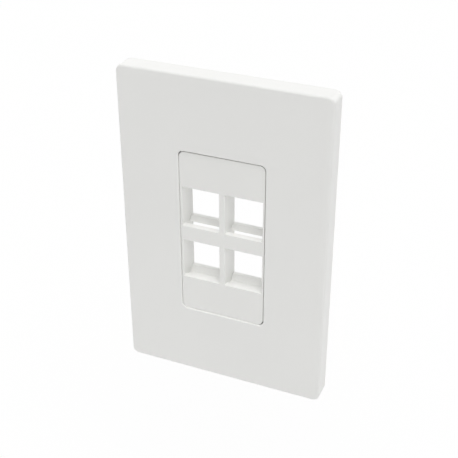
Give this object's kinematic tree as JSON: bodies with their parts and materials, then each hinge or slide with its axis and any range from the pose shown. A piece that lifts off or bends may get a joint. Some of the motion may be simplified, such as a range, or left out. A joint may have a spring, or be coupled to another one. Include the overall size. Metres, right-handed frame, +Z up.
{
  "type": "keystone faceplate",
  "caption": "Flat screwless wall plate with rounded corners: a clip-fitted cover round a flush insert with four see-through ports for keystone jacks.",
  "frame": {"origin": "middle of the insert in the wall plane, midway between the two wall-box screws; the cover's play puts the middle of its outline 0.1 mm to the right and 0.15 mm above", "axes": "+X to the right as seen from the room, +Y into the wall, +Z up; the face looks along -Y"},
  "size_m": [0.0796, 0.0314, 0.1237],
  "materials": {
    "cover_plastic": "white moulded plastic with a low satin gloss and a very fine texture",
    "insert_plastic": "white moulded plastic, satin, a touch warmer than the cover",
    "sub_plate_plastic": "plain white moulded plastic, as moulded",
    "screw_steel": "zinc-plated steel"
  },
  "bodies": {
    "root": {"front_cover": "cover_plastic", "sub_plate": "sub_plate_plastic", "keystone_insert": "insert_plastic", "box_screw_upper": "screw_steel", "box_screw_lower": "screw_steel", "plate_screw_upper": "screw_steel", "plate_screw_lower": "screw_steel"}
  },
  "joints": []
}
